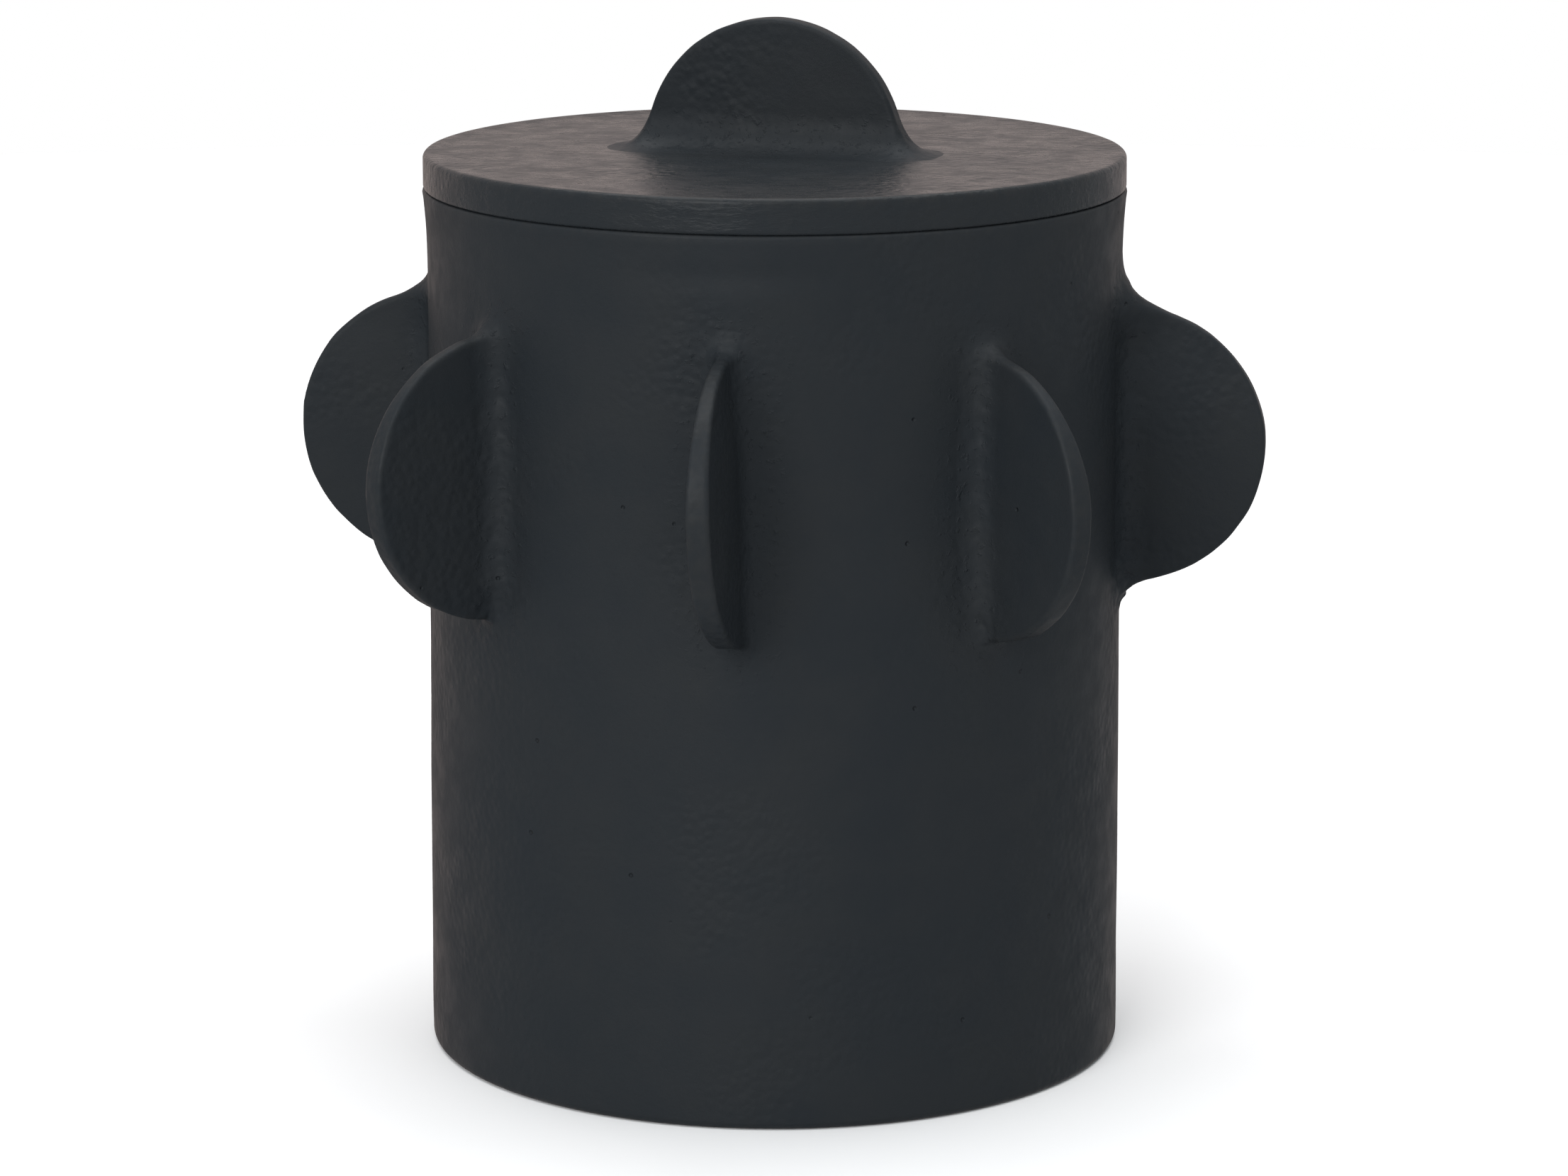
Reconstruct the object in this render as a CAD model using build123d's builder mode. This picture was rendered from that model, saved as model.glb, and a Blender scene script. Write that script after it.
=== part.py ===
"""A lidded sugar bowl of matt black stoneware, in millimetres.

The bowl is a plain slab-built cylinder with a floor let into it. Eight half-disc fins stand
radially round its upper part, each luted to the wall with a smoothed root. The lid is a flat
disc with a locating flange below and a ninth half disc on top to lift it by.

The origin is on the table, on the bowl's axis, with +Z up. The first fin points to -Y, the front.
"""

from build123d import *
from math import hypot
import os

# Bowl
foot_radius = 45.2
waist_radius = 44.7
inner_radius = 40.8
bowl_height = 112.5
flare_length = 11.0
foot_edge_radius = 1.0
rim_outer_edge_radius = 0.35
rim_inner_edge_radius = 0.8

# Floor, let into the wall above the table, so that the wall's lower end is the foot ring
foot_recess = 0.8
floor_thickness = 5.0
cove_radius = 4.0
cove_land = 0.3

# Fins
fin_radius = 18.0
fin_centre_radius = 45.6
fin_height = 79.9
fin_thickness = 3.0
fin_edge_radius = 0.4
fin_root_leg = 2.4
fin_root_softening = 4.0
fin_names = (
    "fin_front",
    "fin_front_right",
    "fin_right",
    "fin_back_right",
    "fin_back",
    "fin_back_left",
    "fin_left",
    "fin_front_left",
)
fin_pitch = 360 / len(fin_names)

# Lid
lid_radius = 45.2
lid_thickness = 4.5
lid_top_edge_radius = 0.7
lid_lower_edge_radius = 0.35
flange_clearance = 0.7
flange_thickness = 3.0
flange_depth = 6.0
flange_edge_radius = 0.8
handle_radius = 17.0
handle_thickness = 2.8
handle_edge_radius = 0.4
handle_root_radius = 4.0
handle_turn = -9.0

lid_underside = bowl_height
lid_top = lid_underside + lid_thickness
flare_start = bowl_height - flare_length
surface_tolerance = 0.05


def outer_radius_at(height):
    """The bowl's outer radius at a height on its straight, slightly tapered part."""
    return foot_radius + (waist_radius - foot_radius) * height / flare_start


def finish_piece(piece, name):
    """Labels a finished piece and writes its STEP file."""
    piece.part.label = name
    export_step(piece.part, f"parts/{name}.step")


os.makedirs("parts", exist_ok=True)

# The bowl's outer form as a filled blank: the wall is cut from it and the fins are shaped on it.
with BuildPart() as bowl_blank:
    with BuildSketch(Plane.XZ.rotated((0, 0, fin_pitch / 2))) as blank_profile:
        with BuildLine() as blank_outline:
            foot = Line((0, 0), (foot_radius, 0))
            side = Line(foot @ 1, (waist_radius, flare_start))
            flare = TangentArc(side @ 1, (foot_radius, bowl_height), tangent=side % 1)
            Polyline(flare @ 1, (0, bowl_height), (0, 0))
        make_face()
        outer_corners = blank_profile.vertices().group_by(Axis.X)[-1].sort_by(Axis.Y)
        fillet(outer_corners[-1], rim_outer_edge_radius)
        outer_corners = blank_profile.vertices().group_by(Axis.X)[-1].sort_by(Axis.Y)
        fillet(outer_corners[0], foot_edge_radius)
    revolve(axis=Axis.Z)

# Wall: an open tube whose lower end is the ring that the bowl stands on.
with BuildPart() as bowl_wall:
    add(bowl_blank.part)
    with BuildSketch(Plane.XY) as wall_bore:
        Circle(inner_radius)
    extrude(amount=bowl_height, mode=Mode.SUBTRACT)
    mouth_edge = bowl_wall.edges().group_by(Axis.Z)[-1].sort_by(SortBy.LENGTH)[0]
    fillet(mouth_edge, rim_inner_edge_radius)
finish_piece(bowl_wall, "bowl_wall")

# Floor: a slab inside the wall, with a cove round its upper side.
floor_top = foot_recess + floor_thickness
cove_centre = (inner_radius - cove_land - cove_radius, floor_top + cove_radius)
with BuildPart() as bowl_floor:
    with BuildSketch(Plane.XZ) as floor_profile:
        with BuildLine() as floor_outline:
            cove = CenterArc(cove_centre, cove_radius, start_angle=-90, arc_size=90)
            land = Line(cove @ 1, (inner_radius, floor_top + cove_radius))
            Polyline(
                land @ 1,
                (inner_radius, foot_recess),
                (0, foot_recess),
                (0, floor_top),
                cove @ 0,
            )
        make_face()
    revolve(axis=Axis.Z)
finish_piece(bowl_floor, "bowl_floor")


def points_along(edge):
    """The two ends and the middle of an edge."""
    return (edge @ 0, edge @ 0.5, edge @ 1)


def follows_side(edge, standoff):
    """True for an edge of the front fin that keeps this distance from the bowl's tapered side."""
    return all(
        point.Y < 0
        and abs(point.X) < fin_thickness
        and abs(point.Z - fin_height) < fin_radius + fin_root_leg
        and abs(hypot(point.X, point.Y) - outer_radius_at(point.Z) - standoff) < surface_tolerance
        for point in points_along(edge)
    )


# Fin: a disc set half into the filled bowl. Clay is drawn up into the angle all round its root,
# as a slope that is then softened where it runs out on the fin, and the bowl is taken away.
# The fin's plane has its x axis forward, out of the bowl, and its y axis up.
fin_plane = Plane(origin=(0, 0, 0), x_dir=(0, -1, 0), z_dir=(-1, 0, 0))
with BuildPart() as front_fin:
    with BuildSketch(fin_plane) as fin_face:
        with Locations((fin_centre_radius, fin_height)):
            Circle(fin_radius)
    extrude(amount=fin_thickness / 2, both=True)
    fillet(front_fin.edges().filter_by(GeomType.CIRCLE), fin_edge_radius)
    add(bowl_blank.part)
    chamfer(front_fin.edges().filter_by(lambda edge: follows_side(edge, 0)), fin_root_leg)
    slope_edges = front_fin.edges().filter_by(lambda edge: follows_side(edge, fin_root_leg))
    fillet(slope_edges, fin_root_softening)
    add(bowl_blank.part, mode=Mode.SUBTRACT)

for index, name in enumerate(fin_names):
    with BuildPart() as fin:
        add(front_fin.part, rotation=(0, 0, index * fin_pitch))
    finish_piece(fin, name)

# Lid slab: a flat disc that rests on the rim.
with BuildPart() as lid_disc:
    with BuildSketch(Plane.XY.offset(lid_underside)) as lid_face:
        Circle(lid_radius)
    extrude(amount=lid_thickness)
    fillet(lid_disc.edges().sort_by(Axis.Z)[-1], lid_top_edge_radius)
    fillet(lid_disc.edges().sort_by(Axis.Z)[0], lid_lower_edge_radius)
finish_piece(lid_disc, "lid_disc")

# Flange: the ring under the lid that keeps it centred in the bowl's mouth.
flange_radius = inner_radius - flange_clearance
with BuildPart() as lid_flange:
    with BuildSketch(Plane.XY.offset(lid_underside)) as flange_face:
        Circle(flange_radius)
        Circle(flange_radius - flange_thickness, mode=Mode.SUBTRACT)
    extrude(amount=-flange_depth)
    fillet(lid_flange.edges().group_by(Axis.Z)[0], flange_edge_radius)
finish_piece(lid_flange, "lid_flange")


def is_handle_root(edge):
    """True for an edge along which the handle meets the lid's flat top."""
    return all(
        hypot(point.X, point.Y) < handle_radius + 1 and abs(point.Z - lid_top) < surface_tolerance
        for point in points_along(edge)
    )


# Handle: a half disc that stands on the lid, its root blended out over the lid.
with BuildPart() as upright_handle:
    with BuildSketch(Plane.XZ) as handle_face:
        with Locations((0, lid_top)):
            Circle(handle_radius)
    extrude(amount=handle_thickness / 2, both=True)
    fillet(upright_handle.edges().filter_by(GeomType.CIRCLE), handle_edge_radius)
    with BuildSketch(Plane.XY.offset(lid_top)) as below_lid_top:
        Rectangle(4 * handle_radius, 2 * handle_radius)
    extrude(amount=-2 * handle_radius, mode=Mode.SUBTRACT)
    add(lid_disc.part)
    fillet(upright_handle.edges().filter_by(is_handle_root), handle_root_radius)
    add(lid_disc.part, mode=Mode.SUBTRACT)
with BuildPart() as lid_handle:
    add(upright_handle.part, rotation=(0, 0, handle_turn))
finish_piece(lid_handle, "lid_handle")
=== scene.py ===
# %% [markdown]
# # A black stoneware sugar bowl with fins
# This lesson dresses a measured model of a small handmade pot for a studio picture. The real bowl is
# rolled from slabs of coarse clay: a tube for the wall, a disc for the floor, eight half discs stood
# round the wall like fins, and a flat lid with a ninth half disc to lift it by. Everything is brushed
# with one matt black slip and fired. The measured model gives every size and place. What it can't
# give is the hand of the maker: edges cut with a knife, clay dragged up into the corners, and a skin
# that is dry, pitted and streaky. That is what is made here.

# %% Open the measured model
import math

import bpy
import numpy as np
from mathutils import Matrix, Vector


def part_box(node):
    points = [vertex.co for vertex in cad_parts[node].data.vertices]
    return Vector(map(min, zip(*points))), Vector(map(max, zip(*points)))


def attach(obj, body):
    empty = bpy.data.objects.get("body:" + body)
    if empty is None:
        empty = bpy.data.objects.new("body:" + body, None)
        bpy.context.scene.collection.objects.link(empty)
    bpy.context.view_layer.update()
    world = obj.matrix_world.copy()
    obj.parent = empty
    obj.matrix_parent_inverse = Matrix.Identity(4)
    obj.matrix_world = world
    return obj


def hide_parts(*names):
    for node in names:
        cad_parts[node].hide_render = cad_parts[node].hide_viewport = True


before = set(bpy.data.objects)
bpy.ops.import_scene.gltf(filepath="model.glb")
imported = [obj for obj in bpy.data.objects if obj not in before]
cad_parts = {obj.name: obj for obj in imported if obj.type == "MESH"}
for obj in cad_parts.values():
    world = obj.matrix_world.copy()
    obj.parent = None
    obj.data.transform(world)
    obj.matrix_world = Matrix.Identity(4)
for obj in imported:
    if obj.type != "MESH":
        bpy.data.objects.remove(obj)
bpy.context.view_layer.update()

# %% [markdown]
# ## Sizes to work from
# A potter thinks in millimetres, so the shapes are worked out in millimetres and turned into metres
# only when a mesh is made. The large sizes are read from the boxes round the measured pieces. The
# small ones, such as how thick a slab is, are written once under a name, here or beside their piece.

# %% Sizes in millimetres
MM = 0.001


def box_mm(node):
    """The lowest and highest corner of a measured piece, in millimetres."""
    low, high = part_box(node)
    return np.array(low) / MM, np.array(high) / MM


foot_radius = box_mm("lid_disc")[1][0]
rim_height = box_mm("bowl_wall")[1][2]
lid_top = box_mm("lid_disc")[1][2]
floor_low, floor_high = box_mm("bowl_floor")
inner_radius = floor_high[0]
flange_low, flange_high = box_mm("lid_flange")
fin_tip = -box_mm("fin_front")[0][1]
fin_height = (box_mm("fin_front")[0][2] + box_mm("fin_front")[1][2]) / 2
fin_radius = 18.0
fin_thickness = 3.0
handle_radius = box_mm("lid_handle")[1][2] - lid_top
handle_thickness = 2.8
handle_turn = math.radians(-9)
print(f"foot radius {foot_radius:.1f}, rim {rim_height:.1f}, lid top {lid_top:.1f}")
print(f"fins reach {fin_tip:.1f} from the axis and are centred {fin_height:.1f} up")
print(f"handle radius {handle_radius:.1f}")

# %% [markdown]
# ## The unevenness of clay
# No surface of a slab pot is quite true. One source of smooth, repeatable randomness serves for all
# of it: random values on a lattice, eased from point to point. A texture could be used to displace
# the mesh instead, but plain arithmetic lets the wall and the fins that grow out of it share exactly
# the same unevenness, so that no gap opens where they meet.

# %% A smooth unevenness
def lattice_value(cells, seed):
    """A repeatable random value between -1 and 1 for whole-numbered lattice points."""
    x, y, z = (cells[..., axis].astype(np.int64) for axis in range(3))
    mixed = (x * 374761393 + y * 668265263 + z * 1274126177 + seed * 974634777) & 0xFFFFFFFF
    mixed = ((mixed ^ (mixed >> 13)) * 1274126177) & 0xFFFFFFFF
    mixed = ((mixed ^ (mixed >> 16)) * 668265263) & 0xFFFFFFFF
    return (mixed ^ (mixed >> 15)) / 0x7FFFFFFF - 1.0


def unevenness(points, lump, seed=0):
    """Smooth noise between -1 and 1 with lumps about that many millimetres across."""
    scaled = points / lump
    cells = np.floor(scaled)
    part = scaled - cells
    part = part * part * (3 - 2 * part)
    total = np.zeros(points.shape[:-1])
    for corner in np.ndindex(2, 2, 2):
        weight = np.ones(points.shape[:-1])
        for axis in range(3):
            weight = weight * (part[..., axis] if corner[axis] else 1 - part[..., axis])
        total += weight * lattice_value(cells + np.array(corner), seed)
    return total


def ease(value, start, end):
    """0 before start, 1 after end, and a smooth rise between them."""
    share = np.clip((value - start) / (end - start), 0, 1)
    return share * share * (3 - 2 * share)


# %% [markdown]
# ## How wide the wall is at each height
# The rolled wall draws in by half a millimetre towards the shoulder and flares back out to the rim,
# and it isn't perfectly round. Just under the rim, above the front fin, the roll left a faint
# level dent. One function gives the wall's radius at any angle and height, and both the wall's own
# mesh and the roots of the fins are built on it.

# %% The wall's radius
waist_radius = 44.7
flare_start = 101.5
dent_height = 107.6
dent_angle = math.radians(-88)
dent_depth = 0.16
lip_drop = 3.2
lip_swell = 0.10


def upright_radius(height):
    """The wall's true radius: a slight taper, then a flare to the rim."""
    taper = foot_radius + (waist_radius - foot_radius) * np.clip(height / flare_start, 0, 1)
    rise = np.clip((height - flare_start) / (rim_height - flare_start), 0, 1)
    return taper + (foot_radius - waist_radius) * rise**2


def wall_radius(angle, height):
    """The handmade wall's radius at an angle round the axis and a height."""
    spot = np.stack([foot_radius * np.cos(angle), foot_radius * np.sin(angle), height], axis=-1)
    roll = 0.09 * unevenness(spot, 31, seed=1) + 0.05 * unevenness(spot, 13, seed=2)
    fine = 0.02 * unevenness(spot, 4.5, seed=3)
    aside = (angle - dent_angle + math.pi) % (2 * math.pi) - math.pi
    above_dent = height - dent_height
    dent = dent_depth * np.exp(-((aside / 0.24) ** 2) - (above_dent / 1.3) ** 2)
    lip = lip_swell * np.exp(-((aside / 0.26) ** 2) - ((above_dent + lip_drop) / 1.5) ** 2)
    ends = ease(height, 0, 6) * ease(rim_height - height, 0, 5)
    return upright_radius(height) + (roll + fine - dent + lip) * ends


print("wall radius at mid height:", round(float(wall_radius(np.array(0.0), np.array(rim_height / 2))), 2))

# %% [markdown]
# ## Turned pieces
# Wall, floor, lid and flange are all round, so each is an outline swept round the axis. A Screw
# modifier would do this too, but here every ring is placed one by one so that its radius may change
# with the angle. A ring that lands on the axis becomes a single point, which keeps the mesh closed.

# %% Sweep an outline round the axis
turns = 480
turn_angles = np.arange(turns) * 2 * math.pi / turns


def arc(centre, radius, start, end, steps):
    """Points on an arc in the outline's plane, with angles in degrees."""
    angles = np.radians(np.linspace(start, end, steps))
    return [(centre[0] + radius * math.cos(a), centre[1] + radius * math.sin(a)) for a in angles]


def run(start, end, step):
    """Evenly spaced points on a straight run, without its last point."""
    length = math.dist(start, end)
    count = max(1, round(length / step))
    return [
        (start[0] + (end[0] - start[0]) * i / count, start[1] + (end[1] - start[1]) * i / count)
        for i in range(count)
    ]


def turned_points(outline):
    """Ring after ring of points, one ring for each point of the outline."""
    radius, height = np.array(outline).T
    x = radius[:, None] * np.cos(turn_angles)
    y = radius[:, None] * np.sin(turn_angles)
    z = np.repeat(height[:, None], turns, axis=1)
    return np.stack([x, y, z], axis=-1)


def turned_faces(rings, closed):
    """Quads between neighbouring rings, and between the last and the first if closed."""
    first = np.arange(rings if closed else rings - 1)[:, None]
    second = (first + 1) % rings
    here = np.arange(turns)[None, :]
    there = (here + 1) % turns
    quads = [first * turns + here, first * turns + there, second * turns + there]
    quads.append(second * turns + here)
    return np.stack(quads, axis=-1).reshape(-1, 4).tolist()


# %% [markdown]
# ## One way to add a piece
# Every piece goes into the scene in the same way. It rides on the body that carries it, it stands for
# the measured piece that it covers, and it keeps two stored values for each point: how much painted
# highlight it gets, paler and browner on a knife-cut edge, and how much the clay was dragged about, as
# beside a root.


def add_piece(name, points, faces, node, body, edge_highlight, dragged):
    """Makes a smooth mesh from points in millimetres and fits it to the measured model."""
    mesh = bpy.data.meshes.new(name)
    mesh.from_pydata((points * MM).tolist(), [], faces)
    mesh.shade_smooth()
    # The first stored value is a painted highlight that makes cut edges paler and browner in colour.
    for label, values in (("painted_edge_highlight", edge_highlight), ("dragged", dragged)):
        layer = mesh.attributes.new(label, "FLOAT", "POINT")
        layer.data.foreach_set("value", np.ascontiguousarray(values, dtype=np.float32))
    piece = bpy.data.objects.new(name, mesh)
    bpy.context.scene.collection.objects.link(piece)
    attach(piece, body)
    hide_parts(node)
    print(f"{name}: {len(mesh.vertices)} points, {len(mesh.polygons)} faces")
    return piece


# %% [markdown]
# ## Where the fins stand
# The eight fins are half discs whose straight side lies along the wall. They are cut and stuck on by
# eye, so each has its own small faults: a degree out of place, sunk a little deep, set high or low,
# turned or leaning, with more or less clay drawn up above, beside and below it, and a rough or a clean
# foot. The faults are listed fin by fin and in that order, because a potter could point to each. A
# fin is also pressed thinner towards its top, where the fingers held it.

# %% The eight fins and their small faults
class Fin:
    """One fin: its direction from the axis, and the small faults of its making."""

    def __init__(self, name, turn, sunk, raised, yaw, lean, reach, rough):
        self.name = name
        self.angle = math.radians(turn - 90)
        self.centre = fin_centre - sunk
        self.height = fin_height + raised
        self.yaw = math.radians(yaw)
        self.lean = math.radians(lean)
        self.top_reach, self.side_reach, self.foot_reach = reach
        self.rough = rough


fin_centre = fin_tip - fin_radius
fins = [
    Fin("front", 1.2, 0.1, 0.1, -6.0, -2.2, (3.4, 3.6, 2.6), 1.0),
    Fin("front_right", 43.9, 0.3, -1.1, 0.0, -0.7, (4.2, 3.8, 2.6), 1.4),
    Fin("right", 90.0, 0.0, 0.0, 0.0, 0.3, (7.4, 3.8, 5.2), 2.6),
    Fin("back_right", 134.6, 0.4, 0.4, 1.5, -0.5, (5.0, 3.4, 3.2), 0.8),
    Fin("back", 180.5, 0.2, -0.3, -1.2, 0.7, (5.6, 3.7, 2.8), 0.9),
    Fin("back_left", 225.4, 0.5, 0.2, 1.0, -0.4, (4.8, 3.5, 3.4), 1.0),
    Fin("left", 270.0, 1.2, 0.1, 0.0, 0.5, (5.8, 3.6, 3.0), 0.8),
    Fin("front_left", 316.2, 0.4, -0.2, 0.0, 0.6, (4.2, 3.6, 2.4), 1.4),
]
print("fins:", ", ".join(fin.name for fin in fins))

# %% [markdown]
# ## The wall
# The outline goes once round the thickness of the slab: under the foot, up the outside, over the rim
# and down the inside. Only the outer side carries the roll's unevenness. The floor and the inner side
# are smoothed with a rib and stay close to true.

# %% Make the wall
foot_edge = 1.0
rim_edge = 0.5
mouth_edge = 0.8


def near_fins(points):
    """1 on the wall right beside a fin's root, fading to 0 a few millimetres away."""
    angle = np.arctan2(points[..., 1], points[..., 0])
    nearest = np.full(angle.shape, 99.0)
    for fin in fins:
        aside = (angle - fin.angle + math.pi) % (2 * math.pi) - math.pi
        beyond = np.maximum(np.abs(points[..., 2] - fin.height) - fin_radius, 0)
        sideways = np.maximum(np.abs(aside) * foot_radius - fin_thickness / 2, 0)
        nearest = np.minimum(nearest, np.hypot(sideways, beyond))
    outside = np.hypot(points[..., 0], points[..., 1]) > inner_radius + 2
    return (1 - ease(nearest, 2.0, 8.5)) * outside


wall_outline = run((inner_radius, 0), (foot_radius - foot_edge, 0), 1.0)
wall_outline += arc((foot_radius - foot_edge, foot_edge), foot_edge, -90, -8, 7)
side_start = len(wall_outline)
wall_outline += run((foot_radius, foot_edge), (foot_radius, rim_height - rim_edge), 0.8)
side_end = len(wall_outline)
wall_outline += arc((foot_radius - rim_edge, rim_height - rim_edge), rim_edge, 4, 90, 6)
wall_outline += run((foot_radius - 2 * rim_edge, rim_height), (inner_radius + 1.2, rim_height), 1.0)
wall_outline += arc((inner_radius + mouth_edge, rim_height - mouth_edge), mouth_edge, 90, 180, 6)
wall_outline += run((inner_radius, rim_height - 2), (inner_radius, 2), 3.0)

wall_points = turned_points(wall_outline)
heights = wall_points[side_start:side_end, :, 2]
angles = np.broadcast_to(turn_angles, heights.shape)
side_radius = wall_radius(angles, heights)
wall_points[side_start:side_end, :, 0] = side_radius * np.cos(angles)
wall_points[side_start:side_end, :, 1] = side_radius * np.sin(angles)
wall_points = wall_points.reshape(-1, 3)
# Painted highlight: the outside near the rim and the foot is painted paler and browner, as where these
# edges catch the light.
from_edge = np.minimum(wall_points[:, 2], rim_height - wall_points[:, 2])
at_outside = np.hypot(wall_points[:, 0], wall_points[:, 1]) > foot_radius - 2
wall_piece = add_piece(
    "slab_wall",
    wall_points,
    turned_faces(len(wall_outline), closed=True),
    "bowl_wall",
    "bowl",
    edge_highlight=(1 - ease(from_edge, 0.1, 1.6)) * at_outside,
    dragged=near_fins(wall_points),
)

# %% [markdown]
# ## The floor
# The floor is a disc of the same clay, pressed into the tube and coved with a finger where it meets
# the wall. It is only seen with the lid off. Its upper face keeps the shallow rings of the finger.

# %% Make the floor
floor_thickness = 5.0
cove_land = 0.3
floor_top = floor_low[2] + floor_thickness
cove = floor_high[2] - floor_top
floor_outline = [(0, floor_low[2])]
floor_outline += run((4, floor_low[2]), (inner_radius, floor_low[2]), 6.0)
floor_outline += run((inner_radius, floor_low[2]), (inner_radius, floor_high[2]), 1.5)
cove_centre = (inner_radius - cove_land - cove, floor_high[2])
floor_outline += [(inner_radius, floor_high[2])]
floor_outline += arc(cove_centre, cove, 0, -90, 12)
floor_outline += run((cove_centre[0] - 0.7, floor_top), (0.8, floor_top), 0.8)
floor_outline += [(0, floor_top)]


def turned_closed(outline):
    """Points and faces of a solid whose outline begins and ends on the axis."""
    rings = turned_points(outline[1:-1]).reshape(-1, 3)
    count = len(outline) - 2
    points = np.vstack([rings, [(0, 0, outline[0][1])], [(0, 0, outline[-1][1])]])
    faces = turned_faces(count, closed=False)
    low, high = len(rings), len(rings) + 1
    last = (count - 1) * turns
    for here in range(turns):
        there = (here + 1) % turns
        faces.append((low, there, here))
        faces.append((high, last + here, last + there))
    return points, faces


floor_points, floor_faces = turned_closed(floor_outline)
out = np.hypot(floor_points[:, 0], floor_points[:, 1])
upper = ease(floor_points[:, 2], floor_top - 0.2, floor_top - 0.1) * (1 - ease(out, 30, 36))
finger_rings = 0.10 * np.sin(out * 1.3 + 2 * unevenness(floor_points, 18, seed=5))
floor_points[:, 2] += upper * (finger_rings + 0.08 * unevenness(floor_points, 5, seed=6))
floor_piece = add_piece(
    "slab_floor",
    floor_points,
    floor_faces,
    "bowl_floor",
    "bowl",
    edge_highlight=np.zeros(len(floor_points)),
    dragged=0.4 * upper,
)

# %% [markdown]
# ## Clay drawn up into a corner
# A fin isn't a clean disc on a clean wall. After it is stuck on, slip and soft clay are drawn up into
# the corner with a finger, so the fin's foot flows out over the wall, mostly further above the fin
# than below it, and more ragged below, where the finger left off. Solids that melt into each other
# are awkward to build face by face. They are easy to describe as a field: a number at each point in
# space that is below nothing inside the clay and above it outside. Two fields are melted together by
# a softened minimum, and the skin is then laid where the field crosses nothing.

# %% The field of a half disc of clay
cut_edge = 0.5
skin_lap = 0.012
bury = 0.7
fin_cuts = 11
handle_cuts = 15


def melt(first, second, reach):
    """A softened minimum of two fields, which fills the corner between them for that reach."""
    close = np.maximum(reach - np.abs(first - second), 0) / reach
    return np.minimum(first, second) - close * close * reach / 4


def knife_outline(angle, radius, cuts, seed):
    """The radius of a disc cut from a slab in short straight strokes of a knife."""
    step = 2 * math.pi / cuts
    wander = 0.35 * np.sin(3 * angle + seed) + 0.2 * np.sin(5 * angle + 2.3 * seed)
    off = (angle + 0.7 * seed + wander * step) % step - step / 2
    stroke = radius * math.cos(step / 2) / np.cos(off)
    return radius - 0.08 * (radius - stroke)


def plate_field(along, up, across, points, radius, thickness, cuts, seed):
    """The field of the bare plate, before any clay is drawn up round its foot."""
    swell = 0.10 * unevenness(points, 9, seed) + 0.05 * unevenness(points, 3.5, seed + 20)
    edge = knife_outline(np.arctan2(up, along), radius, cuts, seed)
    nick = 0.05 * (1 + unevenness(points, 2.6, seed + 40))
    to_rim = np.hypot(along, up) - edge + nick + cut_edge
    to_face = np.abs(across) - thickness / 2 + swell * 0.8 + cut_edge
    outside = np.hypot(np.maximum(to_rim, 0), np.maximum(to_face, 0))
    return outside + np.minimum(np.maximum(to_rim, to_face), 0) - cut_edge


def rooted_field(plate, base, reach, rough, points, seed):
    """The plate melted into its base, kept as a narrow-footed solid that laps just into the base."""
    worked = rough * np.clip(1 - plate / reach, 0, 1) * np.exp(-((base / 2.6) ** 2))
    near = worked > 0.02
    lumps = np.zeros(worked.shape)
    lumps[near] = unevenness(points[near], 1.7, seed + 60)
    lumps[near] += 0.6 * unevenness(points[near], 0.8, seed + 80)
    clay = melt(plate, base + skin_lap, reach) + 0.07 * worked * lumps
    return np.maximum(np.maximum(clay, -(base + bury)), plate - reach - 0.8)


# %% [markdown]
# ## Laying the skin
# The field is sampled on a fine grid. In each little cube that the surface passes through, one point
# is set, and neighbouring points are joined across each grid edge that goes from inside to outside.
# This is a surface net. It gives even, four-sided faces, and the mesh is closed by nature. The points
# are then slid the last few hundredths of a millimetre onto the true surface.

# %% Lay a net over a field
grid_pitch = 0.29
grid_margin = 1.6
block = 4
corner_steps = list(np.ndindex(2, 2, 2))


def cube_corner(values, step):
    """The grid values at one corner of every cube."""
    return values[tuple(slice(s, n - 1 + s) for s, n in zip(step, values.shape))]


def net_points(field):
    """One point in each cube that the surface crosses, and the number of that point."""
    inside = sum(cube_corner(field < 0, step).astype(np.int8) for step in corner_steps)
    crossed = (inside > 0) & (inside < 8)
    number = np.full(crossed.shape, -1)
    number[crossed] = np.arange(np.count_nonzero(crossed))
    values = np.stack([cube_corner(field, step)[crossed] for step in corner_steps])
    total = np.zeros((values.shape[1], 3))
    count = np.zeros(values.shape[1])
    for first, second in ((a, b) for a in range(8) for b in range(a + 1, 8)):
        start, end = np.array(corner_steps[first]), np.array(corner_steps[second])
        if np.abs(start - end).sum() != 1:
            continue
        meets = (values[first] < 0) != (values[second] < 0)
        gap = np.where(meets, values[first] - values[second], 1)
        share = np.where(meets, values[first] / gap, 0)
        total += meets[:, None] * (start + share[:, None] * (end - start))
        count += meets
    return np.argwhere(crossed) + total / count[:, None], number


def net_faces(field, number):
    """A quad for each grid edge that the surface crosses, wound to face outwards."""
    inside = field < 0
    faces = []
    for axis in range(3):
        near = np.take(inside, range(0, inside.shape[axis] - 1), axis)
        far = np.take(inside, range(1, inside.shape[axis]), axis)
        side, other = [(axis + 1) % 3, (axis + 2) % 3]
        for leaving in (True, False):
            edges = np.argwhere((near == leaving) & (far != leaving))
            ring = []
            for back_side, back_other in ((1, 1), (0, 1), (0, 0), (1, 0)):
                cell = edges.copy()
                cell[:, side] -= back_side
                cell[:, other] -= back_other
                ring.append(number[tuple(cell.T)])
            quads = np.stack(ring if leaving else ring[::-1], axis=-1)
            faces.append(quads)
    return np.vstack(faces).tolist()


def sampled(field_at, grid):
    """The field on a grid, worked out finely only near the surface."""
    coarse = field_at(grid[block // 2 :: block, block // 2 :: block, block // 2 :: block])
    field = coarse.repeat(block, 0).repeat(block, 1).repeat(block, 2)
    near = np.abs(field) < 1.5 * block * grid_pitch
    field[near] = field_at(grid[near])
    return field


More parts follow.
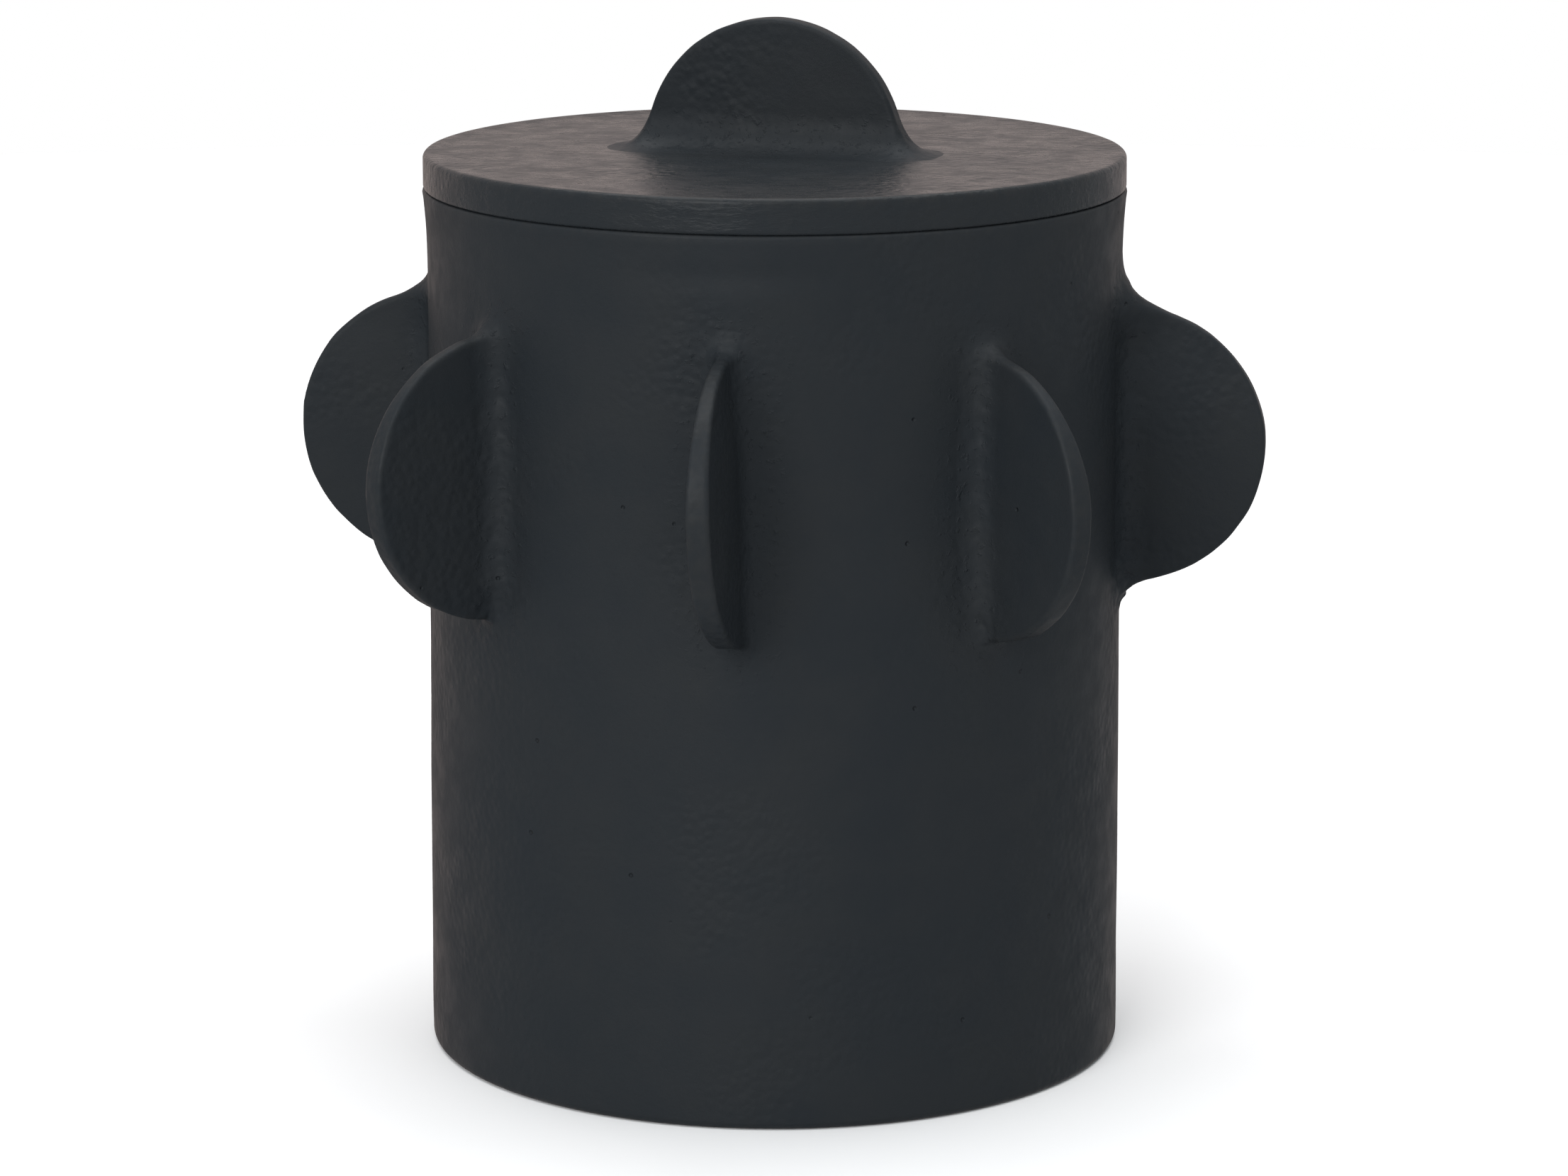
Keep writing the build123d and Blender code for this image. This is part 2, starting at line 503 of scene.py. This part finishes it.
def skin_of(field_at, low, high):
    """Points and faces of the skin where a field crosses nothing, between two corners."""
    axes = []
    for start, end in zip(low, high):
        samples = block * math.ceil((end - start) / grid_pitch / block)
        axes.append(start + grid_pitch * np.arange(samples))
    grid = np.stack(np.meshgrid(*axes, indexing="ij"), axis=-1)
    field = sampled(field_at, grid)
    points, number = net_points(field)
    points = np.array(low) + points * grid_pitch
    nudge = 0.02
    for _ in range(3):
        here = field_at(points)
        slope = np.stack(
            [(field_at(points + nudge * np.eye(3)[axis]) - here) / nudge for axis in range(3)],
            axis=-1,
        )
        steep = np.maximum((slope**2).sum(axis=-1), 0.2)
        points = points - np.clip(here / steep, -0.15, 0.15)[:, None] * slope
    return points, net_faces(field, number)


# %% [markdown]
# ## The fins
# Each fin is worked out lying in its own frame, with the first axis pointing out from the bowl. Its
# base is the handmade wall itself, so the drawn-up clay follows every small swell of it and runs out
# tangent to it. Then the fin is turned round the axis to its place.

# %% Make the fins
def turned(points, angle):
    """Points turned round the upright axis."""
    cos, sin = math.cos(angle), math.sin(angle)
    x, y, z = points[..., 0], points[..., 1], points[..., 2]
    return np.stack([x * cos - y * sin, x * sin + y * cos, z], axis=-1)


def fin_parts(fin, points, seed):
    """The plate's field, the wall's, and how far the clay is drawn up, at points in the fin's frame."""
    out, across, height = points[..., 0], points[..., 1], points[..., 2]
    up = height - fin.height
    bow = fin.lean * up + fin.yaw * (out - fin_centre) + 0.2 * np.sin(up / 11 + seed)
    thickness = fin_thickness * (1 - 0.4 * ease(up, 2, 18) - 0.1 * ease(-up, 9, 18))
    plate = plate_field(
        out - fin.centre, up, across - bow, points, fin_radius, thickness, fin_cuts, seed
    )
    angle = fin.angle + np.arctan2(across, out)
    base = np.hypot(out, across) - wall_radius(angle, height)
    reach = fin.side_reach + (fin.top_reach - fin.side_reach) * ease(up, 12.5, 18)
    reach = reach + (fin.foot_reach - fin.side_reach) * ease(-up, 12.5, 18)
    return plate, base, reach


def fin_field(fin, points, seed):
    """The field of a whole fin with its foot."""
    plate, base, reach = fin_parts(fin, points, seed)
    rough = fin.rough * (1 + 1.6 * ease(fin.height - points[..., 2], 13, 18))
    return rooted_field(plate, base, reach, rough, points, seed)


fin_grid_start = 41.2
fin_pieces = []
for seed, fin in enumerate(fins, start=1):
    longest_reach = max(fin.side_reach, fin.top_reach, fin.foot_reach)
    wide = fin_thickness / 2 + longest_reach + grid_margin
    tall = fin_radius - fin_thickness / 2 + wide
    low = (fin_grid_start, -wide, fin.height - tall)
    high = (fin_tip + 0.6, wide, fin.height + tall)
    points, faces = skin_of(lambda spot: fin_field(fin, spot, seed), low, high)
    plate, base, reach = fin_parts(fin, points, seed)
    # Painted highlight: each fin's cut rim, away from its root, is painted paler where it catches the
    # light.
    from_centre = np.hypot(points[:, 0] - fin.centre, points[:, 2] - fin.height)
    on_rim = ease(from_centre, fin_radius - 1.0, fin_radius - 0.2)
    fin_pieces.append(
        add_piece(
            fin.name + "_fin",
            turned(points, fin.angle),
            faces,
            "fin_" + fin.name,
            "bowl",
            edge_highlight=on_rim * ease(base, 1.0, 3.0),
            dragged=1 - ease(base, 1.5, 5.5),
        )
    )

# %% [markdown]
# ## The lid
# The lid is cut from a flat slab and rests on the rim. A rib drawn across it while the clay was soft
# has left its top a little hollow and wavy. Its edge is cut clean and then softened with a sponge.

# %% Make the lid slab
lid_edge = 0.7
lid_under_edge = 0.5
noise_ring = 45

lid_outline = [(0, rim_height)]
lid_outline += run((3, rim_height), (foot_radius - lid_under_edge, rim_height), 3.0)
under_centre = (foot_radius - lid_under_edge, rim_height + lid_under_edge)
lid_outline += arc(under_centre, lid_under_edge, -90, 0, 6)
lid_outline += run((foot_radius, rim_height + 0.8), (foot_radius, lid_top - lid_edge), 0.5)
lid_outline += arc((foot_radius - lid_edge, lid_top - lid_edge), lid_edge, 0, 90, 9)
lid_outline += run((foot_radius - lid_edge - 0.5, lid_top), (0.6, lid_top), 0.6)
lid_outline += [(0, lid_top)]


def lid_level(x, y):
    """How far the lid's worked top lies below its true height."""
    spot = np.stack([x, y, np.zeros(np.shape(x))], axis=-1)
    pulled = spot * np.array([0.35, 1.0, 1.0])
    wave = 0.07 * unevenness(spot, 19, seed=8) + 0.03 * unevenness(pulled, 3.0, seed=9)
    return (0.12 + wave) * (1 - ease(np.hypot(x, y), foot_radius - 3.0, foot_radius - 0.8))


lid_points, lid_faces = turned_closed(lid_outline)
out = np.hypot(lid_points[:, 0], lid_points[:, 1])
on_top = lid_points[:, 2] > lid_top - 0.001
lid_points[:, 2] -= on_top * lid_level(lid_points[:, 0], lid_points[:, 1])
around = np.arctan2(lid_points[:, 1], lid_points[:, 0])
edge_spot = np.stack(
    [np.cos(around) * noise_ring, np.sin(around) * noise_ring, lid_points[:, 2]], axis=-1
)
shy = 0.05 * (1 + unevenness(edge_spot, 15, seed=10))
shy += 0.02 * (1 + unevenness(edge_spot, 3, seed=11))
keep = 1 - ease(out, foot_radius - 2, foot_radius) * shy / foot_radius
lid_points[:, :2] *= keep[:, None]
# Painted highlight: the lid's upper cut edge is painted paler where it catches the light.
near_edge = 1 - ease(np.abs(foot_radius - out), 0.2, 1.3)
lid_piece = add_piece(
    "slab_lid",
    lid_points,
    lid_faces,
    "lid_disc",
    "lid",
    edge_highlight=near_edge * ease(lid_points[:, 2], lid_top - 1.4, lid_top - 0.5),
    dragged=0.55 * on_top,
)

# %% [markdown]
# ## The flange under the lid
# A coil pressed into a ring keeps the lid from sliding off. It hangs just inside the bowl's mouth.

# %% Make the flange
flange_outer = flange_high[0]
flange_thickness = 3.0
flange_inner = flange_outer - flange_thickness
flange_foot = flange_low[2]
soft = 0.8

flange_outline = run((flange_inner + soft, flange_foot), (flange_outer - soft, flange_foot), 0.5)
flange_outline += arc((flange_outer - soft, flange_foot + soft), soft, -90, 0, 7)
flange_outline += run((flange_outer, flange_foot + 1.2), (flange_outer, rim_height), 0.7)
flange_outline += run((flange_outer, rim_height), (flange_inner, rim_height), 1.0)
flange_outline += run((flange_inner, rim_height), (flange_inner, flange_foot + 1.2), 0.7)
flange_outline += arc((flange_inner + soft, flange_foot + soft), soft, 180, 270, 7)[:-1]
flange_points = turned_points(flange_outline).reshape(-1, 3)
wobble = 1 - 0.0022 * (1 + unevenness(flange_points, 8, seed=12))
flange_points[:, :2] *= wobble[:, None]
# Painted highlight: the flange's lower edge gets a weak painted highlight.
flange_piece = add_piece(
    "coil_flange",
    flange_points,
    turned_faces(len(flange_outline), closed=True),
    "lid_flange",
    "lid",
    edge_highlight=0.3 * (1 - ease(flange_points[:, 2], flange_foot, flange_foot + 1.2)),
    dragged=np.full(len(flange_points), 0.3),
)

# %% [markdown]
# ## The handle
# The handle is a ninth half disc, stood upright on the lid and joined in the same way. Its base is
# the lid's worked top instead of the wall. It was set a few degrees out of line with the fins.

# %% Make the handle
handle_side_reach = 5.0
handle_end_reach = 5.6
handle_rough = 0.7
handle_seed = 9


def handle_parts(points):
    """The plate's field, the lid's, and how far the clay is drawn up, in the handle's frame."""
    along, across, height = points[..., 0], points[..., 1], points[..., 2]
    up = height - lid_top
    bow = 0.15 * np.sin(along / 9)
    plate = plate_field(
        along, up, across - bow, points, handle_radius, handle_thickness, handle_cuts, handle_seed
    )
    place = turned(points, handle_turn)
    base = up + lid_level(place[..., 0], place[..., 1])
    reach = handle_side_reach + (handle_end_reach - handle_side_reach) * ease(np.abs(along), 12, 17)
    return plate, base, reach


def handle_field(points):
    """The field of the handle with its foot."""
    plate, base, reach = handle_parts(points)
    return rooted_field(plate, base, reach, handle_rough, points, handle_seed)


long = handle_radius + handle_end_reach + grid_margin
wide = handle_thickness / 2 + handle_end_reach + grid_margin
low = (-long, -wide, lid_top - grid_margin)
high = (long, wide, lid_top + handle_radius + 0.6)
handle_points, handle_faces = skin_of(handle_field, low, high)
plate, base, reach = handle_parts(handle_points)
# Painted highlight: the handle's cut rim, away from its root, is painted paler where it catches the
# light.
from_centre = np.hypot(handle_points[:, 0], handle_points[:, 2] - lid_top)
on_rim = ease(from_centre, handle_radius - 0.8, handle_radius)
handle_piece = add_piece(
    "slab_handle",
    turned(handle_points, handle_turn),
    handle_faces,
    "lid_handle",
    "lid",
    edge_highlight=on_rim * ease(base, 1.0, 3.0),
    dragged=1 - ease(base, 2.0, 6.5),
)

# %% [markdown]
# ## The black slip
# The bowl is covered in one coat of matt black slip: nearly black, very slightly blue, dry to the
# touch. Up close it has a fine grit, patches with a skin like orange peel, a few pinholes where
# bubbles broke, and dragged, torn streaks where it was wiped. Every layer reads the same upright
# coordinates in millimetres, so it runs across wall, fins and lid without a seam. Height goes to one
# bump in true millimetres. A smaller share goes to colour and roughness.

# %% A small kit for wiring shaders
class Wires:
    """Adds nodes to one material and joins them, so that a recipe reads from top to bottom."""

    def __init__(self, material):
        self.nodes = material.node_tree.nodes
        self.links = material.node_tree.links

    def add(self, kind, inputs=None, **settings):
        node = self.nodes.new(kind)
        for key, value in settings.items():
            setattr(node, key, value)
        for key, value in (inputs or {}).items():
            socket = node.inputs[key]
            if isinstance(value, bpy.types.NodeSocket):
                self.links.new(value, socket)
            else:
                socket.default_value = value
        return node

    def sum(self, first, second):
        return self.add("ShaderNodeMath", {0: first, 1: second}, operation="ADD").outputs[0]

    def times(self, first, second):
        return self.add("ShaderNodeMath", {0: first, 1: second}, operation="MULTIPLY").outputs[0]

    def least(self, first, second):
        return self.add("ShaderNodeMath", {0: first, 1: second}, operation="MINIMUM").outputs[0]

    def between(self, value, low, high, to_low=0.0, to_high=1.0):
        inputs = {"Value": value, "From Min": low, "From Max": high}
        inputs.update({"To Min": to_low, "To Max": to_high})
        return self.add("ShaderNodeMapRange", inputs, interpolation_type="SMOOTHSTEP").outputs[0]

    def noise(self, place, per_mm, detail=3.0, rough=0.5):
        inputs = {"Vector": place, "Scale": per_mm, "Detail": detail, "Roughness": rough}
        return self.add("ShaderNodeTexNoise", inputs).outputs["Fac"]


# %% [markdown]
# ## Mixing the slip
# The recipe is a function, because the lid needs more wiping streaks than the bowl. The streaks are
# noise stretched along one direction. Pinholes are the hearts of a few widely spaced cells, and the
# peel is a finer set of rounded cells that shows only in patches and beside the roots. Each relief
# is named in millimetres, so that one layer can be made stronger without touching the others. The
# mirror-like share is kept low, because a dry slip has hardly any gloss except at a grazing angle.

# %% Mix the slip
slip_black = (0.0140, 0.0170, 0.0200, 1)
# A paler, browner slip colour. It is used for random clouds and wiping streaks, and as the painted
# highlight on cut edges.
slip_pale_and_highlight = (0.026, 0.026, 0.025, 1)
slip_ior = 1.2
grit_relief = 0.038
swell_relief = 0.05
peel_relief = 0.13
tear_relief = 0.09
line_relief = 0.035
pinhole_depth = 0.3


def slip_height(wires, place, dragged, streak):
    """The relief of the slip in millimetres."""
    grit = wires.times(wires.noise(place, 1.5, 5.0, 0.65), grit_relief)
    swell = wires.times(wires.noise(place, 0.16, 2.0), swell_relief)
    patch = wires.between(wires.noise(place, 0.045, 1.0), 0.44, 0.62)
    cells = wires.add(
        "ShaderNodeTexVoronoi",
        {"Vector": place, "Scale": 0.85, "Smoothness": 0.6},
        feature="SMOOTH_F1",
    ).outputs["Distance"]
    patchy = wires.sum(wires.times(patch, 0.9), wires.times(dragged, 0.45))
    peel = wires.times(wires.times(cells, patchy), -peel_relief)
    torn = wires.between(wires.noise(place, 1.1, 3.0, 0.6), 0.55, 0.75)
    tears = wires.times(wires.times(torn, dragged), tear_relief)
    lines = wires.times(wires.between(streak, 0.42, 0.72), line_relief)
    total = wires.sum(wires.sum(grit, swell), wires.sum(peel, tears))
    return wires.sum(total, lines)


def pinholes(wires, place):
    """How deep a pinhole is at each place, 0 where there is none."""
    cells = wires.add("ShaderNodeTexVoronoi", {"Vector": place, "Scale": 0.17}, feature="F1")
    chance = wires.add("ShaderNodeSeparateColor", {0: cells.outputs["Color"]}).outputs[0]
    chosen = wires.between(chance, 0.5, 0.52)
    core = wires.between(cells.outputs["Distance"], 0.02, 0.06, 1.0, 0.0)
    return wires.times(core, chosen)


def mix_slip(name, streak_stretch, streak_amount, roughness):
    """A matt black slip, with wiping streaks drawn out along the first axis."""
    material = bpy.data.materials.new(name)
    material.use_nodes = True
    material.node_tree.nodes.clear()
    wires = Wires(material)
    where = wires.add("ShaderNodeTexCoord").outputs["Object"]
    place = wires.add("ShaderNodeMapping", {"Vector": where, "Scale": (1000, 1000, 1000)}).outputs[0]
    # The painted highlight on cut edges, as stored on each piece.
    edge_highlight = wires.add("ShaderNodeAttribute", attribute_name="painted_edge_highlight").outputs["Fac"]
    dragged = wires.add("ShaderNodeAttribute", attribute_name="dragged").outputs["Fac"]
    pulled = wires.add("ShaderNodeMapping", {"Vector": place, "Scale": streak_stretch}).outputs[0]
    streak = wires.times(wires.noise(pulled, 1.0, 5.0, 0.62), streak_amount)
    holes = pinholes(wires, place)
    height = wires.sum(
        slip_height(wires, place, dragged, streak), wires.times(holes, -pinhole_depth)
    )
    bump = wires.add("ShaderNodeBump", {"Height": height, "Distance": MM, "Strength": 1.0})

    # Colour: random paler clouds and the wiping streaks are the slip's own tone. The paler share on cut
    # edges is a painted highlight where they catch the light.
    cloud = wires.between(wires.noise(place, 0.07, 4.0, 0.6), 0.3, 0.7, 0.0, 0.2)
    edge_highlight_share = wires.times(edge_highlight, wires.between(wires.noise(place, 0.8, 3.0), 0.35, 0.65, 0.0, 0.2))
    pale_and_highlight = wires.least(wires.sum(wires.sum(cloud, edge_highlight_share), wires.times(streak, 0.15)), 1.0)
    colour = wires.add(
        "ShaderNodeMix", {"Factor": pale_and_highlight, 6: slip_black, 7: slip_pale_and_highlight}, data_type="RGBA"
    ).outputs[2]
    patchy = wires.noise(place, 0.25, 4.0, 0.6)
    dryness = wires.between(patchy, 0.3, 0.7, roughness - 0.05, roughness + 0.08)
    shader = wires.add(
        "ShaderNodeBsdfPrincipled",
        {"Base Color": colour, "Roughness": dryness, "Normal": bump.outputs[0], "IOR": slip_ior},
    )
    out = wires.add("ShaderNodeOutputMaterial", {"Surface": shader.outputs[0]})
    print(f"{name}: {len(wires.nodes)} nodes, ends in {out.name}")
    return material


bowl_slip = mix_slip(
    "black_slip_brushed", streak_stretch=(0.35, 0.35, 0.05), streak_amount=0.1, roughness=0.50
)
lid_slip = mix_slip(
    "black_slip_wiped", streak_stretch=(0.28, 1.2, 1.2), streak_amount=1.0, roughness=0.28
)
for piece in [wall_piece, floor_piece, *fin_pieces, handle_piece]:
    piece.data.materials.append(bowl_slip)
for piece in (lid_piece, flange_piece):
    piece.data.materials.append(lid_slip)

# %% [markdown]
# ## The table
# A plain pale table top, bright enough to burn out to white, so that its edge can't be told from the
# white room. It carries the soft shadow at the foot and bounces light up onto the bowl. It is left out
# of mirrored light: a white table would be mirrored in the sides of the bowl and turn them grey, which
# dark cards set up beside the bowl would prevent in a real studio.

# %% Lay the table
table_radius = 0.9
table_thickness = 0.002


def lay_table():
    """A round pale slab whose top is at nothing height."""
    steps = 180
    angles = np.arange(steps) * 2 * math.pi / steps
    ring = np.stack([np.cos(angles), np.sin(angles)], axis=-1) * table_radius
    points = [(x, y, z) for z in (0.0, -table_thickness) for x, y in ring]
    faces = [tuple(range(steps)), tuple(range(2 * steps - 1, steps - 1, -1))]
    faces += [(i, i + steps, (i + 1) % steps + steps, (i + 1) % steps) for i in range(steps)]
    mesh = bpy.data.meshes.new("table")
    mesh.from_pydata(points, [], faces)
    table = bpy.data.objects.new("table", mesh)
    table.visible_glossy = False
    bpy.context.scene.collection.objects.link(table)
    finish = bpy.data.materials.new("table_white")
    finish.use_nodes = True
    shader = finish.node_tree.nodes["Principled BSDF"]
    shader.inputs["Base Color"].default_value = (0.8, 0.8, 0.8, 1)
    shader.inputs["Roughness"].default_value = 0.9
    shader.inputs["Specular IOR Level"].default_value = 0.1
    mesh.materials.append(finish)
    return table


table = lay_table()
print("table is", 2 * table_radius, "metres across")

# %% [markdown]
# ## The studio light
# Black, matt things show the room more than their own colour. The bowl stands in a white room that is
# bright behind it and dim behind the onlooker, so that the front stays deep black while the lid, seen
# at a low angle, and the two sides pick up a pale sheen. The room is painted as a gradient in the
# world, warm at the back and cool at the front, and turned a little so that the bowl's left side
# is brighter than its right. An onlooker sees plain white.

# %% Light the room
def light_room(back, front, below, bright_side, back_tint, front_tint):
    """A room brighter on one side and a little dimmer below, plain white to the camera."""
    world = bpy.data.worlds.new("studio")
    bpy.context.scene.world = world
    world.use_nodes = True
    nodes, links = world.node_tree.nodes, world.node_tree.links
    nodes.clear()
    where = nodes.new("ShaderNodeTexCoord")
    split = nodes.new("ShaderNodeSeparateXYZ")
    links.new(where.outputs["Generated"], split.inputs[0])
    away = nodes.new("ShaderNodeVectorMath")
    away.operation = "DOT_PRODUCT"
    away.inputs[1].default_value = bright_side
    links.new(where.outputs["Generated"], away.inputs[0])
    ramp = nodes.new("ShaderNodeMapRange")
    ramp.interpolation_type = "SMOOTHSTEP"
    ramp.inputs["From Min"].default_value = 0.3
    ramp.inputs["From Max"].default_value = 1.05
    links.new(away.outputs["Value"], ramp.inputs["Value"])
    mix = nodes.new("ShaderNodeMix")
    mix.data_type = "RGBA"
    mix.inputs[6].default_value = tuple(front * c for c in front_tint) + (1,)
    mix.inputs[7].default_value = tuple(back * c for c in back_tint) + (1,)
    links.new(ramp.outputs[0], mix.inputs["Factor"])
    above = nodes.new("ShaderNodeMapRange")
    above.interpolation_type = "SMOOTHSTEP"
    above.inputs["From Min"].default_value = -0.12
    above.inputs["From Max"].default_value = 0.08
    above.inputs["To Min"].default_value = below
    links.new(split.outputs["Z"], above.inputs["Value"])
    room = nodes.new("ShaderNodeBackground")
    links.new(above.outputs[0], room.inputs["Strength"])
    links.new(mix.outputs[2], room.inputs["Color"])
    plain = nodes.new("ShaderNodeBackground")
    plain.inputs["Color"].default_value = (1, 1, 1, 1)
    seen = nodes.new("ShaderNodeLightPath")
    choose = nodes.new("ShaderNodeMixShader")
    links.new(seen.outputs["Is Camera Ray"], choose.inputs[0])
    links.new(room.outputs[0], choose.inputs[1])
    links.new(plain.outputs[0], choose.inputs[2])
    out = nodes.new("ShaderNodeOutputWorld")
    links.new(choose.outputs[0], out.inputs[0])


light_room(
    back=0.69,
    front=0.55,
    below=0.92,
    bright_side=(-0.35, 0.94, 0.0),
    back_tint=(1.12, 0.93, 0.87),
    front_tint=(0.95, 1.0, 1.04),
)


def hang_softbox(name, place, aim, size, watts):
    """A square softbox that hangs at a place and faces a point."""
    light = bpy.data.lights.new(name, "AREA")
    light.shape = "SQUARE"
    light.size = size
    light.energy = watts
    box = bpy.data.objects.new(name, light)
    bpy.context.scene.collection.objects.link(box)
    box.location = place
    direction = Vector(aim) - Vector(place)
    box.rotation_euler = direction.to_track_quat("-Z", "Y").to_euler()


hang_softbox("overhead", place=(0.0, 0.1, 1.6), aim=(0, 0, 0), size=1.8, watts=32)
hang_softbox("front", place=(-0.5, -1.65, 0.75), aim=(0, 0, 0.06), size=1.0, watts=20)

# %% [markdown]
# ## The camera
# A long lens from a little above the lid, turned a few degrees so that the front fin is seen just off
# its edge and the left side of the handle stands further back than its right.

# %% Place the camera
camera_turn = math.radians(8)
camera_distance = 0.6766
camera_height = 0.2067
camera_tilt = math.radians(12.28)
focal_length = 121.72
film_width = 36
sideways_shift = 0.0059

lens = bpy.data.cameras.new("camera")
lens.lens = focal_length
lens.sensor_width = film_width
lens.shift_x = sideways_shift
camera = bpy.data.objects.new("camera", lens)
bpy.context.scene.collection.objects.link(camera)
camera.location = (
    camera_distance * math.sin(camera_turn),
    -camera_distance * math.cos(camera_turn),
    camera_height,
)
camera.rotation_euler = (math.pi / 2 - camera_tilt, 0, camera_turn)
bpy.context.scene.camera = camera
bpy.context.scene.view_settings.view_transform = "Standard"
print("camera stands at", [round(v, 3) for v in camera.location])
